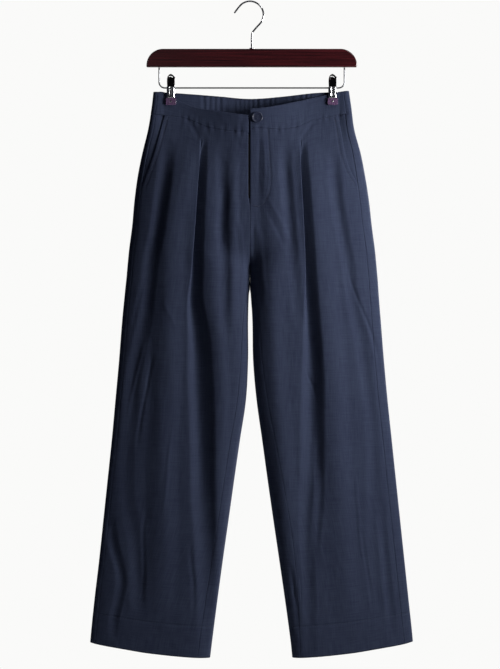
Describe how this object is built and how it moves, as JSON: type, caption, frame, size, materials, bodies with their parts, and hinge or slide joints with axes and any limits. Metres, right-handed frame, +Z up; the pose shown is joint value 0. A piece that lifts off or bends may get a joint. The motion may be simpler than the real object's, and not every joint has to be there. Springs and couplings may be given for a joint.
{
  "type": "suit trousers on a clip hanger",
  "caption": "Wide-leg pleated suit trousers in plain linen with slant pockets and a gathered back waistband, hanging by the waist from a wooden clip hanger.",
  "frame": {"origin": "inside top of the hook, where it rests on a rail", "axes": "+Z up, the front of the trousers faces -Y, the wearer's left is at +X"},
  "size_m": [0.6134, 0.0722, 1.2475],
  "materials": {
    "linen": "matte slubby plain weave",
    "zip_tape": "matte",
    "button": "satin",
    "hanger_wood": "gloss varnish",
    "chrome": "polished",
    "pad": "soft clear vinyl"
  },
  "bodies": {
    "root": {"front_right_leg": "linen", "back_right_leg": "linen", "waistband_front_right": "linen", "pocket_facing_right": "linen", "front_left_leg": "linen", "back_left_leg": "linen", "waistband_front_left": "linen", "pocket_facing_left": "linen", "waistband_back": "linen", "fly_shield": "linen", "zip": "zip_tape", "button": "button", "hanger_bar": "hanger_wood", "hanger_hook": "chrome", "hanger_loop": "chrome", "clip_right": "chrome", "clip_left": "chrome", "pad_front_right": "pad", "pad_back_right": "pad", "pad_front_left": "pad", "pad_back_left": "pad"}
  },
  "joints": []
}
